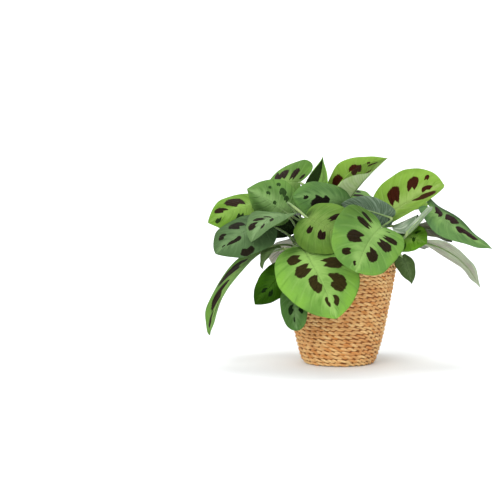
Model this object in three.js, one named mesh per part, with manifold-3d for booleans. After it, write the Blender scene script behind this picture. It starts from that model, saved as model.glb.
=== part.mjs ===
// A prayer plant (maranta) in its nursery pot, standing in a basket coiled from twisted seagrass rope.
// Millimetres, +Z up. The origin is the middle of the basket's flat bottom, and the plant's front is -Y.

import * as THREE from "three";
import { mergeVertices } from "three/addons/utils/BufferGeometryUtils.js";
import Module from "manifold-3d";

const wasm = await Module();
wasm.setup();

// ---------------------------------------------------------------------------------------------------------
// Driving dimensions
// ---------------------------------------------------------------------------------------------------------

// Basket: coiled rope, tapered, with a rounded foot.
const BASKET_HEIGHT = 134;
const BASKET_ROWS = 27;
const BASKET_WALL = 4.6;
const BASKET_FLOOR = 5;
const ROPE_RELIEF = 0.8;
const BASKET_SIDES = 28;
const BASKET_FOOT_RADIUS = 37;
const BASKET_HEEL_HEIGHT = 4;
// Outside radius of the wall at heights up the basket, each as [height, radius].
const BASKET_OUTSIDE = [
  [0, 40], [4, 44.5], [10, 47.5], [30, 53], [60, 59.5], [90, 65], [112, 68.6], [134, 70.5],
];
// Heights of the plain inside face's corners, from the rim down.
const BASKET_INSIDE_HEIGHTS = [128, 90, 60, 30, 12];

// Nursery pot: thin plastic, with a rolled rim and drain holes in its floor.
const GAP = 0.3;
const POT_FOOT = BASKET_FLOOR + GAP;
const POT_HEIGHT = 112;
const POT_FOOT_RADIUS = 38.5;
const POT_TOP_RADIUS = 57;
const POT_WALL = 1.4;
const POT_FLOOR = 1.6;
const POT_LIP = 1;
const POT_RIM_REACH = 3;
const POT_RIM_HEIGHT = 8;
const POT_SIDES = 28;
const DRAIN_RADIUS = 4;
const DRAIN_RING = 26;
const DRAIN_COUNT = 6;
const DRAIN_SIDES = 10;

// Soil: fills the pot to a little under its rim, and is heaped slightly in the middle.
const SOIL_TOP = 108;
const SOIL_SIDES = 28;
const SOIL_CLEARANCE = 0.6;
// The soil's surface from the middle out to the pot's wall, each as [radius, height over SOIL_TOP].
const SOIL_SURFACE = [[0, 2.1], [22, 1.5], [40, -0.5]];
const SOIL_EDGE_DROP = 2;
const HOLE_DEPTH = 24;
const HOLE_PLAY = 0.55;
const HOLE_SIDES = 8;

// Leaves and stems.
const BLADE_THICKNESS = 0.7;
const BLADE_ROWS = [0, 0.08, 0.2, 0.34, 0.5, 0.66, 0.8, 0.91, 1];
const FLAT_COLUMNS = [-1, -0.5, 0, 0.5, 1];
const ROLLED_COLUMNS = [-1, -0.75, -0.5, -0.25, 0, 0.25, 0.5, 0.75, 1];
const ROLLED_CURL = 60;
// How far the lobes reach back past the stalk, and the pulls on the outline's curves, as shares.
const HEEL = 0.17;
const LOBE_PULL = 0.42;
const SHOULDER = 0.58;
const TAPER = 0.93;
const TIP_WIDTH = 0.32;
// How the side veins sweep towards the tip, and the waves of the edge, which start at another place on each
// leaf and on each of its halves.
const VEIN_SWEEP = 1.25;
const EDGE_WAVES = 3;
const WAVE_START = 1 / 50;
const WAVE_SHIFT = 0.35;
const STEM_RADIUS = 2.7;
const STEM_SIDES = 7;
const STEM_UPRIGHT = 4;
// A joint of the stem, as how far up it lies, and the stem's radius there and at its top as shares.
const STEM_JOINT = 0.55;
const STEM_JOINT_SHARE = 0.95;
const STEM_TOP_SHARE = 0.7;
const PETIOLE_RADIUS = 1.25;
const SHEATH_RADIUS = 1.9;
const PULVINUS_RADIUS = 1.7;
const PETIOLE_SIDES = 4;
const PETIOLE_STEPS = 6;
// The pulls on a stalk's curve, as shares of its length: outward and up at the stem, back at the blade.
const STALK_OUT = 0.12;
const STALK_UP = 0.45;
const STALK_BACK = 0.16;
const SHEATH_SHARE = 0.3;
const PULVINUS_DROP = 1.1;
// The rib under the blade, each as [fraction of the midrib, radius], sunk into the blade's underside.
const RIB = [[0.1, 1.2], [0.3, 0.5]];
const RIB_DROP = 0.5;

// ---------------------------------------------------------------------------------------------------------
// The plant: each leafy stem with its leaves
// ---------------------------------------------------------------------------------------------------------

// A leaf: `base` is where the blade meets its stalk, `tip` its far end, `across` the direction from its
// left edge to its right edge, `width` edge to edge. `bow` lifts the middle of the midrib and `sway` bends
// it sideways, `fold` tilts the left and right halves up from flat, in degrees, and `curl` bends each half
// further on its way to the edge. `belly` is where the blade is widest. `blunt` rounds its tip, or draws it
// out where negative. `lean` is the share that the left half is wider by and the right half narrower, and
// `wave` is the height of the waves of its edge. `from` is how far up the stem the stalk starts, and `over`
// gives the two points that pull the stalk's curve, where the stalk has to go round something.
const PLAIN_SHAPE = {
  bow: 6, sway: 0, fold: [0, 0], curl: [-15, -15], belly: 0.38, blunt: 0, lean: 0, wave: 1.2, from: 0.7,
};

function leaf(base, tip, across, width, shape) {
  return { base, tip, across, width, ...PLAIN_SHAPE, ...shape };
}

const STEMS = [
  {
    name: "leafy_stem_01", foot: [24, -26], top: [30, -34, 26],
    leaves: [
      leaf([50, -50, 168], [19, -120, 121], [0.86, -0.05, -0.51], 85,
        { bow: 5, sway: -4, fold: [10, 8], curl: [-8, -14], from: 0.9, belly: 0.27, blunt: 1.4,
          lean: 0.11 }),
      leaf([76, 2, 154], [105, -18, 147], [0.3, 0.6, 0.7], 44, { bow: 4, curl: [-20, -20] }),
      leaf([75, -24, 131], [87, -32, 99], [0.85, 0.45, 0.1], 26,
        { bow: 3, curl: [-20, -20], from: 0.5, belly: 0.3, blunt: -0.6,
          over: [[42, -26, 140], [67, -20, 147]] }),
    ],
  },
  {
    name: "leafy_stem_02", foot: [-22, -34], top: [-30, -42, 22],
    leaves: [
      leaf([-42, -67, 144], [-3, -111, 66], [0.95, 0.22, -0.08], 98,
        { bow: 8, fold: [-3, 6], curl: [-10, -6], from: 0.9, blunt: 0.25 }),
      leaf([-61, -49, 120], [-100, -55, 76], [0.85, -0.1, -0.5], 38,
        { bow: 4, curl: [-20, -20], from: 0.5, over: [[-40, -38, 160], [-64, -48, 150]] }),
      leaf([-55, -72, 96], [-49, -88, 49], [0.97, 0, 0.2], 32,
        { bow: 5, fold: [5, 5], curl: [-10, -10], from: 0.4, blunt: 0.9,
          over: [[-44, -44, 162], [-70, -62, 150]] }),
      leaf([-70, -57, 143], [-91, -65, 119], [0.6, -0.6, 0.3], 26,
        { bow: 6, fold: [10, 10], curl: [10, 10] }),
    ],
  },
  {
    name: "leafy_stem_03", foot: [-6, -14], top: [-8, -18, 34],
    leaves: [
      leaf([-39, -48, 180], [14, -60, 146], [0.5, 0.5, 0.65], 80,
        { fold: [0, -5], curl: [-4, -12], from: 0.9, over: [[-56, -14, 186], [-84, -35, 217]] }),
      leaf([12, -9, 192], [-56, -27, 203], [0.1, -0.65, -0.75], 62,
        { fold: [0, -30], curl: [-20, -20], blunt: 0.4 }),
    ],
  },
  {
    name: "leafy_stem_04", foot: [-34, -10], top: [-42, -14, 24],
    leaves: [
      leaf([-63, -32, 181], [-104, -68, 151], [0.64, -0.7, -0.3], 62,
        { bow: 12, fold: [0, 25], curl: [-12, -12], from: 0.9 }),
      leaf([-89, -26, 171], [-147, -52, 136], [0.5, -0.74, -0.45], 78, { curl: [-20, -20], blunt: 0.3 }),
      leaf([-48, 4, 175], [-92, 7, 155], [0.35, 0, -0.93], 28, { bow: 2, curl: [-20, -20], from: 0.5 }),
    ],
  },
  {
    name: "leafy_stem_05", foot: [-36, 12], top: [-46, 12, 22],
    leaves: [
      leaf([-92, 20, 190], [-160, -2, 170], [0.375, -0.763, -0.51], 66,
        { bow: 8, fold: [0, -45], curl: [-10, -20], from: 0.9, over: [[-60, 12, 158], [-86, 12, 176]] }),
      leaf([-86, -24, 143], [-155, -40, 37], [0.28, -0.935, -0.016], 60,
        { bow: 15, fold: [10, 10], curl: [0, 0], belly: 0.62, blunt: 0.8 }),
    ],
  },
  {
    name: "leafy_stem_06", foot: [-16, 8], top: [-22, 8, 40],
    leaves: [
      leaf([-49, 22, 219], [-99, 76, 207], [-0.49, -0.65, -0.87], 82,
        { bow: 5, curl: [-10, -10], from: 0.9, belly: 0.3 }),
      leaf([-60, -16, 182], [-112, -8, 212], [-0.7, -0.2, -0.55], 70,
        { bow: 4, fold: [-10, -55], curl: [-10, 0] }),
    ],
  },
  {
    name: "leafy_stem_07", foot: [2, 10], top: [2, 12, 44],
    leaves: [
      leaf([-23, 38, 190], [-21, 30, 251], [-0.92, 0.4, 0], 48,
        { bow: -4, fold: [50, 50], curl: [0, 0], from: 0.8, blunt: -0.8 }),
      leaf([9, 39, 195], [59, 33, 249], [-0.42, 0.81, 0.405], 78,
        { bow: 3, fold: [70, 42], curl: [0, -15], from: 0.95, belly: 0.26, blunt: -0.6 }),
      leaf([4, 50, 196], [6, 114, 206], [-0.99, 0.1, 0], 72, { curl: [-20, -20], from: 0.9 }),
    ],
  },
  {
    name: "leafy_stem_08", foot: [20, 2], top: [26, 0, 40],
    leaves: [
      leaf([54, 36, 174], [127, 26, 217], [-0.4, 0.4, 0.78], 84,
        { fold: [60, 5], curl: [-15, -15], from: 0.9, blunt: 0.3 }),
      leaf([61, -14, 178], [2, -20, 195], [0.2, -0.2, 0.95], 34, { bow: 4, curl: [15, 20] }),
      leaf([66, -5, 166], [95, -7, 181], [0.2, -0.7, 0.7], 42,
        { bow: 0, fold: [20, 20], curl: [140, 140], from: 0.5 }),
    ],
  },
  {
    name: "leafy_stem_09", foot: [38, 2], top: [50, 2, 26],
    leaves: [
      leaf([109, -13, 190], [183, -19, 141], [0.3, 0.85, 0.4], 46,
        { bow: -2, sway: -2, fold: [-10, 0], curl: [-20, -10], from: 0.9, wave: 2, belly: 0.25,
          blunt: -0.5, over: [[60, 0, 140], [90, -38, 160]] }),
      leaf([107, 8, 146], [170, -4, 93], [-0.07, 0.92, -0.3], 60,
        { bow: 11, curl: [0, 0], from: 0.5, belly: 0.48 }),
      leaf([92, 14, 165], [138, 20, 146], [-0.1, 0.9, -0.4], 46,
        { curl: [0, 0], over: [[58, 18, 148], [78, 20, 166]] }),
      leaf([80, -40, 162], [110, -38, 192], [0.7, 0.1, -0.7], 22,
        { bow: 0, fold: [20, 20], curl: [150, 150], from: 0.8, over: [[58, 6, 142], [80, -36, 150]] }),
    ],
  },
  {
    name: "leafy_stem_10", foot: [-26, 32], top: [-36, 38, 26],
    leaves: [
      leaf([-62, 38, 172], [-125, 85, 160], [-0.6, -0.8, 0], 72,
        { bow: 8, fold: [-5, -5], curl: [-20, -20] }),
      leaf([-55, 48, 148], [-68, 105, 100], [-0.98, -0.2, 0], 62,
        { bow: 8, fold: [-5, -5], curl: [-20, -20], from: 0.5 }),
      leaf([-45, 34, 186], [-89, 88, 188], [-0.8, -0.6, 0], 66, { bow: 8, curl: [-20, -20], from: 0.95 }),
    ],
  },
  {
    name: "leafy_stem_11", foot: [-2, 36], top: [-4, 42, 30],
    leaves: [
      leaf([-27, 46, 160], [-32, 122, 100], [-0.99, 0.1, 0], 72,
        { bow: 10, fold: [-5, -5], curl: [-20, -20] }),
      leaf([34, 70, 140], [40, 106, 58], [-0.99, 0.1, 0], 70, { bow: 9, fold: [-5, -5], from: 0.5 }),
      leaf([-8, 48, 184], [-2, 122, 172], [-0.99, 0.1, 0], 74,
        { bow: 8, curl: [-20, -20], from: 0.95, over: [[-6, 34, 155], [-8, 34, 176]] }),
    ],
  },
  {
    name: "leafy_stem_12", foot: [26, 28], top: [32, 32, 30],
    leaves: [
      leaf([18, 48, 172], [24, 126, 122], [-0.99, 0.1, 0], 78,
        { bow: 10, fold: [-5, -5], curl: [-20, -20] }),
      leaf([66, 38, 152], [108, 96, 132], [-0.8, 0.6, 0], 60,
        { bow: 8, fold: [-5, -5], curl: [-20, -20], from: 0.5 }),
      leaf([62, 56, 184], [106, 102, 190], [-0.75, 0.6, 0], 70,
        { bow: 8, curl: [-20, -20], from: 0.95, over: [[44, 38, 156], [60, 40, 176]] }),
    ],
  },
];

// ---------------------------------------------------------------------------------------------------------
// Materials
// ---------------------------------------------------------------------------------------------------------

const leafGreen = new THREE.MeshStandardMaterial({
  color: 0x6fa544, roughness: 0.55, side: THREE.DoubleSide,
});
const seagrass = new THREE.MeshStandardMaterial({ color: 0xc49a62, roughness: 0.9 });
const potPlastic = new THREE.MeshStandardMaterial({ color: 0x3d2c24, roughness: 0.6 });
const pottingMix = new THREE.MeshStandardMaterial({ color: 0x2e221b, roughness: 1.0 });

// ---------------------------------------------------------------------------------------------------------
// Solids: joining and cutting
// ---------------------------------------------------------------------------------------------------------

// A geometry's welded corners as a solid for joining and cutting.
function toSolid(geometry) {
  const bare = new THREE.BufferGeometry();
  bare.setAttribute("position", geometry.getAttribute("position").clone());
  if (geometry.index) {
    bare.setIndex(geometry.index.clone());
  }
  const merged = mergeVertices(bare, 1e-4);
  return new wasm.Manifold(new wasm.Mesh({
    numProp: 3,
    vertProperties: new Float32Array(merged.getAttribute("position").array),
    triVerts: new Uint32Array(merged.index.array),
  }));
}

function toGeometry(solid) {
  const mesh = solid.getMesh();
  const geometry = new THREE.BufferGeometry();
  geometry.setAttribute("position", new THREE.BufferAttribute(new Float32Array(mesh.vertProperties), 3));
  geometry.setIndex(new THREE.BufferAttribute(new Uint32Array(mesh.triVerts), 1));
  geometry.computeVertexNormals();
  return geometry;
}

function joined(geometries) {
  return geometries.map(toSolid).reduce((whole, piece) => whole.add(piece));
}

// A mesh from its corner points and its triangles, as a flat list of point numbers.
function polygonGeometry(points, faces) {
  const geometry = new THREE.BufferGeometry();
  const numbers = points.flatMap((point) => point.toArray());
  geometry.setAttribute("position", new THREE.Float32BufferAttribute(numbers, 3));
  geometry.setIndex(faces);
  return geometry;
}

// A closed tube through a list of points, with its own radius at each point.
function taperedTube(points, radii, sides) {
  const curveFrame = [];
  let normal = null;
  points.forEach((point, i) => {
    const before = points[Math.max(0, i - 1)];
    const after = points[Math.min(points.length - 1, i + 1)];
    const tangent = after.clone().sub(before).normalize();
    if (normal === null) {
      const helper = Math.abs(tangent.z) < 0.9 ? new THREE.Vector3(0, 0, 1) : new THREE.Vector3(1, 0, 0);
      normal = helper.cross(tangent).normalize();
    }
    normal = normal.clone().addScaledVector(tangent, -normal.dot(tangent)).normalize();
    curveFrame.push({ point, normal, binormal: tangent.clone().cross(normal) });
  });
  const ring = [];
  curveFrame.forEach(({ point, normal: across, binormal }, i) => {
    for (let k = 0; k < sides; k += 1) {
      const angle = (2 * Math.PI * (k + 0.5)) / sides;
      const corner = point.clone();
      corner.addScaledVector(across, radii[i] * Math.cos(angle));
      corner.addScaledVector(binormal, radii[i] * Math.sin(angle));
      ring.push(corner);
    }
  });
  const faces = [];
  const last = points.length - 1;
  for (let i = 0; i < last; i += 1) {
    for (let k = 0; k < sides; k += 1) {
      const a = i * sides + k;
      const b = i * sides + ((k + 1) % sides);
      faces.push(a, b, b + sides, a, b + sides, a + sides);
    }
  }
  for (let k = 1; k < sides - 1; k += 1) {
    faces.push(0, k + 1, k);
    faces.push(last * sides, last * sides + k, last * sides + k + 1);
  }
  return polygonGeometry(ring, faces);
}

// ---------------------------------------------------------------------------------------------------------
// Leaves
// ---------------------------------------------------------------------------------------------------------

const vector = (xyz) => new THREE.Vector3(...xyz);

function cubic(a, b, c, d, t) {
  const s = 1 - t;
  return s * s * s * a + 3 * s * s * t * b + 3 * s * t * t * c + t * t * t * d;
}

// The blade's outline, as [distance along, distance out], both as fractions: from the notch at the stalk
// round the lobe to the widest place (u = 0.5), and on to the tip (u = 1).
function outline({ belly, blunt }, u) {
  if (u < 0.5) {
    const t = 2 * u;
    return [cubic(0, -HEEL, belly - LOBE_PULL, belly, t), cubic(0, 0.3, 1, 1, t)];
  }
  const t = 2 * u - 1;
  const shoulder = belly + (1 - belly) * (SHOULDER + 0.1 * blunt);
  return [cubic(belly, shoulder, TAPER + 0.07 * blunt, 1, t), cubic(1, 1, TIP_WIDTH + 0.3 * blunt, 0, t)];
}

function bladeFrame(leaf) {
  const base = vector(leaf.base);
  const tip = vector(leaf.tip);
  const along = tip.clone().sub(base).normalize();
  const across = vector(leaf.across);
  across.addScaledVector(along, -across.dot(along)).normalize();
  const face = along.clone().cross(across);
  const bowed = base.clone().add(tip).multiplyScalar(0.5);
  bowed.addScaledVector(face, 2 * leaf.bow).addScaledVector(across, 2 * leaf.sway);
  return { base, tip, along, across, face, midrib: new THREE.QuadraticBezierCurve3(base, bowed, tip) };
}

// The midrib as a parabola, which also runs on past both ends, for the lobes behind the base.
function midribAt(frame, s) {
  const { v0, v1, v2 } = frame.midrib;
  const point = new THREE.Vector3();
  point.addScaledVector(v0, (1 - s) * (1 - s));
  point.addScaledVector(v1, 2 * s * (1 - s));
  point.addScaledVector(v2, s * s);
  const leaving = v1.clone().sub(v0);
  const arriving = v2.clone().sub(v1);
  const tangent = leaving.multiplyScalar(1 - s).addScaledVector(arriving, s).normalize();
  const across = frame.across.clone().addScaledVector(tangent, -frame.across.dot(tangent)).normalize();
  return { point, across, face: tangent.clone().cross(across) };
}

// A point of the blade's middle surface: u runs from base to tip along the veins' ends, and v from the left
// edge (-1) over the midrib (0) to the right edge (1).
function bladePoint(leaf, frame, u, v) {
  const reach = Math.abs(v);
  const half = v < 0 ? 0 : 1;
  const [edgeAlong, edgeOut] = outline(leaf, u);
  const root = u * u;
  const s = root + (edgeAlong - root) * reach ** VEIN_SWEEP;
  const halfWidth = (leaf.width / 2) * (half === 0 ? 1 + leaf.lean : 1 - leaf.lean);
  const out = edgeOut * reach * halfWidth;
  const fold = THREE.MathUtils.degToRad(leaf.fold[half]);
  const bend = THREE.MathUtils.degToRad(leaf.curl[half]) / halfWidth || 1e-6;
  const sideways = (Math.sin(fold + bend * out) - Math.sin(fold)) / bend;
  const up = (Math.cos(fold) - Math.cos(fold + bend * out)) / bend;
  const turn = EDGE_WAVES * u + leaf.base[0] * WAVE_START + WAVE_SHIFT * half;
  const wave = leaf.wave * Math.sin(2 * Math.PI * turn) * reach * reach * Math.sin(Math.PI * u);
  const { point, across, face } = midribAt(frame, s);
  point.addScaledVector(across, Math.sign(v) * sideways);
  point.addScaledVector(face, up + wave);
  return point;
}

// The direction that the upper side faces at a point of the blade.
function bladeFace(leaf, frame, u, v) {
  const step = 0.02;
  const inward = THREE.MathUtils.clamp(u, 0.05, 0.95);
  const along = bladePoint(leaf, frame, inward + step, v).sub(bladePoint(leaf, frame, inward - step, v));
  const left = Math.max(-1, v - step);
  const right = Math.min(1, v + step);
  const across = bladePoint(leaf, frame, inward, right).sub(bladePoint(leaf, frame, inward, left));
  return along.cross(across).normalize();
}

// The blade as a thin closed sheet: an upper and a lower skin with the same triangles, and a narrow edge.
function bladeGeometry(leaf, frame) {
  const rolled = Math.max(Math.abs(leaf.curl[0]), Math.abs(leaf.curl[1])) > ROLLED_CURL;
  const columns = rolled ? ROLLED_COLUMNS : FLAT_COLUMNS;
  const across = columns.length;
  const rows = BLADE_ROWS.slice(1, -1);
  const spots = [[0, 0]];
  rows.forEach((u) => columns.forEach((v) => spots.push([u, v])));
  spots.push([1, 0]);
  const count = spots.length;
  const points = [];
  [0.5, -0.5].forEach((side) => {
    spots.forEach(([u, v]) => {
      const point = bladePoint(leaf, frame, u, v);
      points.push(point.addScaledVector(bladeFace(leaf, frame, u, v), side * BLADE_THICKNESS));
    });
  });
  const upper = [];
  const at = (row, column) => 1 + row * across + column;
  const lastRow = rows.length - 1;
  for (let column = 0; column < across - 1; column += 1) {
    upper.push([0, at(0, column), at(0, column + 1)]);
    upper.push([count - 1, at(lastRow, column + 1), at(lastRow, column)]);
    for (let row = 0; row < lastRow; row += 1) {
      const corners = [at(row, column), at(row + 1, column), at(row + 1, column + 1), at(row, column + 1)];
      const leftHalf = column < (across - 1) / 2;
      const cut = leftHalf ? [0, 1, 2, 0, 2, 3] : [1, 2, 3, 1, 3, 0];
      upper.push([corners[cut[0]], corners[cut[1]], corners[cut[2]]]);
      upper.push([corners[cut[3]], corners[cut[4]], corners[cut[5]]]);
    }
  }
  const rim = [0];
  for (let row = 0; row <= lastRow; row += 1) {
    rim.push(at(row, 0));
  }
  rim.push(count - 1);
  for (let row = lastRow; row >= 0; row -= 1) {
    rim.push(at(row, across - 1));
  }
  const faces = [];
  upper.forEach(([a, b, c]) => {
    faces.push(a, b, c);
    faces.push(count + a, count + c, count + b);
  });
  rim.forEach((a, i) => {
    const b = rim[(i + 1) % rim.length];
    faces.push(a, count + a, count + b, a, count + b, b);
  });
  return polygonGeometry(points, faces);
}

// The stalk: a sheath at the stem, a slim petiole, the swollen pulvinus under the blade, and then the rib
// that runs out along the blade's underside.
function petioleGeometry(stem, leaf, frame) {
  const start = stemPoint(stem, leaf.from);
  const end = frame.base.clone().addScaledVector(frame.face, -PULVINUS_DROP);
  const span = end.distanceTo(start);
  const out = end.clone().sub(start).setZ(0).normalize();
  const upright = new THREE.Vector3(0, 0, span * STALK_UP);
  const backward = frame.along.clone().add(frame.face).multiplyScalar(-span * STALK_BACK);
  const leave = leaf.over
    ? vector(leaf.over[0])
    : start.clone().addScaledVector(out, span * STALK_OUT).add(upright);
  const arrive = leaf.over ? vector(leaf.over[1]) : end.clone().add(backward);
  const route = new THREE.CubicBezierCurve3(start, leave, arrive, end);
  const points = [];
  const radii = [];
  for (let i = 0; i <= PETIOLE_STEPS; i += 1) {
    const t = i / PETIOLE_STEPS;
    points.push(route.getPoint(t));
    radii.push(THREE.MathUtils.lerp(SHEATH_RADIUS, PETIOLE_RADIUS, Math.min(1, t / SHEATH_SHARE)));
  }
  radii[PETIOLE_STEPS] = PULVINUS_RADIUS;
  RIB.forEach(([s, radius]) => {
    const { point, face } = midribAt(frame, s);
    points.push(point.addScaledVector(face, -RIB_DROP));
    radii.push(radius);
  });
  return taperedTube(points, radii, PETIOLE_SIDES);
}

// ---------------------------------------------------------------------------------------------------------
// Stems
// ---------------------------------------------------------------------------------------------------------

function stemPoint(stem, up) {
  const [footX, footY] = stem.foot;
  const [topX, topY, height] = stem.top;
  const x = THREE.MathUtils.lerp(footX, topX, up);
  const y = THREE.MathUtils.lerp(footY, topY, up);
  return new THREE.Vector3(x, y, SOIL_TOP + height * up);
}

function stemGeometry(stem) {
  const [footX, footY] = stem.foot;
  const points = [new THREE.Vector3(footX, footY, SOIL_TOP - HOLE_DEPTH + GAP)];
  points.push(new THREE.Vector3(footX, footY, SOIL_TOP + STEM_UPRIGHT));
  points.push(stemPoint(stem, STEM_JOINT));
  points.push(stemPoint(stem, 1));
  const radii = [1, 1, STEM_JOINT_SHARE, STEM_TOP_SHARE].map((share) => share * STEM_RADIUS);
  return taperedTube(points, radii, STEM_SIDES);
}

function leafyStem(stem) {
  const pieces = [stemGeometry(stem)];
  stem.leaves.forEach((leaf) => {
    const frame = bladeFrame(leaf);
    pieces.push(petioleGeometry(stem, leaf, frame));
    pieces.push(bladeGeometry(leaf, frame));
  });
  const mesh = new THREE.Mesh(toGeometry(joined(pieces)), leafGreen);
  mesh.name = stem.name;
  return mesh;
}

// ---------------------------------------------------------------------------------------------------------
// Basket
// ---------------------------------------------------------------------------------------------------------

function basketRadius(height) {
  const last = BASKET_OUTSIDE.length - 1;
  for (let i = 0; i < last; i += 1) {
    const [low, lowRadius] = BASKET_OUTSIDE[i];
    const [high, highRadius] = BASKET_OUTSIDE[i + 1];
    if (height <= high) {
      return lowRadius + ((highRadius - lowRadius) * (height - low)) / (high - low);
    }
  }
  return BASKET_OUTSIDE[last][1];
}

function turned(profile, sides) {
  const corners = profile.map(([radius, height]) => new THREE.Vector2(radius, height));
  return new THREE.LatheGeometry(corners, sides).rotateX(Math.PI / 2);
}

// The wall bulges outward at every turn of the rope and draws in between two turns.
function basket() {
  const rowHeight = BASKET_HEIGHT / BASKET_ROWS;
  const profile = [[0, 0], [BASKET_FOOT_RADIUS, 0]];
  for (let row = 0; row < BASKET_ROWS; row += 1) {
    const middle = (row + 0.5) * rowHeight;
    const seam = (row + 1) * rowHeight;
    profile.push([basketRadius(middle), middle]);
    if (row < BASKET_ROWS - 1) {
      profile.push([basketRadius(seam) - ROPE_RELIEF, seam]);
    }
  }
  profile.push([basketRadius(BASKET_HEIGHT) - BASKET_WALL / 2, BASKET_HEIGHT]);
  BASKET_INSIDE_HEIGHTS.forEach((height) => profile.push([basketRadius(height) - BASKET_WALL, height]));
  profile.push([basketRadius(BASKET_HEEL_HEIGHT) - BASKET_WALL, BASKET_FLOOR], [0, BASKET_FLOOR]);
  const mesh = new THREE.Mesh(turned(profile, BASKET_SIDES), seagrass);
  mesh.name = "basket";
  return mesh;
}

// ---------------------------------------------------------------------------------------------------------
// Nursery pot and soil
// ---------------------------------------------------------------------------------------------------------

function potRadius(height) {
  return POT_FOOT_RADIUS + ((POT_TOP_RADIUS - POT_FOOT_RADIUS) * (height - POT_FOOT)) / POT_HEIGHT;
}

function nurseryPot() {
  const top = POT_FOOT + POT_HEIGHT;
  const collar = top - POT_RIM_HEIGHT;
  const profile = [
    [0, POT_FOOT],
    [POT_FOOT_RADIUS, POT_FOOT],
    [potRadius(collar), collar],
    [potRadius(collar) + POT_RIM_REACH, collar],
    [potRadius(top) + POT_RIM_REACH, top],
    [potRadius(top) - POT_LIP, top],
    [potRadius(collar) - POT_WALL, collar - POT_WALL],
    [POT_FOOT_RADIUS - POT_WALL, POT_FOOT + POT_FLOOR],
    [0, POT_FOOT + POT_FLOOR],
  ];
  let solid = toSolid(turned(profile, POT_SIDES));
  for (let k = 0; k < DRAIN_COUNT; k += 1) {
    const angle = (2 * Math.PI * (k + 0.5)) / DRAIN_COUNT;
    const drain = new THREE.CylinderGeometry(DRAIN_RADIUS, DRAIN_RADIUS, 4 * POT_FLOOR, DRAIN_SIDES);
    drain.rotateX(Math.PI / 2);
    drain.translate(DRAIN_RING * Math.cos(angle), DRAIN_RING * Math.sin(angle), POT_FOOT + POT_FLOOR / 2);
    solid = solid.subtract(toSolid(drain));
  }
  const mesh = new THREE.Mesh(toGeometry(solid), potPlastic);
  mesh.name = "nursery_pot";
  return mesh;
}

function soil() {
  const floor = POT_FOOT + POT_FLOOR + GAP;
  const edge = SOIL_TOP - SOIL_EDGE_DROP;
  const inside = (height) => potRadius(height) - POT_WALL - SOIL_CLEARANCE;
  const profile = [[0, floor], [inside(floor), floor], [inside(edge), edge]];
  [...SOIL_SURFACE].reverse().forEach(([radius, rise]) => profile.push([radius, SOIL_TOP + rise]));
  let solid = toSolid(turned(profile, SOIL_SIDES));
  const radius = STEM_RADIUS + HOLE_PLAY;
  STEMS.forEach((stem) => {
    const hole = new THREE.CylinderGeometry(radius, radius, 2 * HOLE_DEPTH, HOLE_SIDES);
    hole.rotateX(Math.PI / 2).translate(stem.foot[0], stem.foot[1], SOIL_TOP);
    solid = solid.subtract(toSolid(hole));
  });
  const mesh = new THREE.Mesh(toGeometry(solid), pottingMix);
  mesh.name = "soil";
  return mesh;
}

// ---------------------------------------------------------------------------------------------------------
// The whole plant in its basket
// ---------------------------------------------------------------------------------------------------------

const group = new THREE.Group();
group.add(basket());
group.add(nurseryPot());
group.add(soil());
STEMS.forEach((stem) => group.add(leafyStem(stem)));

export default group;
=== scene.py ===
"""The looks of a potted prayer plant (maranta) in a basket of coiled seagrass rope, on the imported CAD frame.

+Z is up and the plant's front faces -Y. Lengths are in millimetres, but in metres for the camera, the lamps
and the floor. Each leaf is a finer copy of the blade in the part's source, made from the same numbers, with
veins and blotches from its own leaf coordinates.
"""

import math
import random

import bpy
import numpy as np
from mathutils import Matrix, Vector


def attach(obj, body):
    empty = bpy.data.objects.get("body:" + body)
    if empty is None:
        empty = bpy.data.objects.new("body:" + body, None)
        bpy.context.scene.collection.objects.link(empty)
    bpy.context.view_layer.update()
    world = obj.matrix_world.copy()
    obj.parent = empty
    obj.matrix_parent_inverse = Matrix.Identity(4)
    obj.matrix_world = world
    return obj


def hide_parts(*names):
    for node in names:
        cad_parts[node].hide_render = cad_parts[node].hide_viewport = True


MM = 0.001

# The camera: the photograph's frame is 500 x 500, and one of its pixels is 1.22 mm at the basket.
FRAME_PIXELS = 500
PIXEL = 1.22 * MM
BASKET_PIXEL = (340, 362.3)
CAMERA_DISTANCE = 2.0
CAMERA_ELEVATION = math.radians(8)
SENSOR = 36
FOCAL_TRIM = 0.995

# Soft studio light: white from all round, and square lamps as (name, place, aim, size, watts).
WORLD_LIGHT = 0.76
LAMPS = [
    ("key", (-1.0, -2.3, 1.6), (0, 0, 0.12), 1.6, 48),
    ("fill", (0.9, -2.5, 0.5), (0, 0, 0.08), 1.6, 18),
    ("backdrop", (0.0, 1.2, 2.8), (0, 2.8, 0.7), 2.4, 60),
]

# The floor runs from FLOOR_FRONT back to FLOOR_BEND, turns up with a round bend, and ends at WALL_TOP.
FLOOR_COLOUR = (0.88, 0.9, 0.905, 1)
FLOOR_HALF_WIDTH = 5.0
FLOOR_FRONT = -3.0
FLOOR_BEND = 1.6
BEND_RADIUS = 1.2
BEND_STEPS = 14
WALL_TOP = 6.0

# Basket: the solid's outside as (height, radius), and the two-ply rope that is coiled up it.
BASKET_HEIGHT = 134
BASKET_ROWS = 27
BASKET_OUTSIDE = [(0, 40), (4, 44.5), (10, 47.5), (30, 53), (60, 59.5), (90, 65), (112, 68.6), (134, 70.5)]
BASE_RINGS = [37.5, 32.5, 27.5, 22.5, 17.5, 12.5, 7.5, 3.2]
BASKET_PIECES = 4
STRAND_RADIUS = 1.55
STRAND_STEP = 1.35
STRAND_SIDES = 9
TWIST_RADIUS = 1.25
TWIST_PITCH = 17.5
ROPE_LIFT = 0.3
ROPE_PROUD = 0.3
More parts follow.
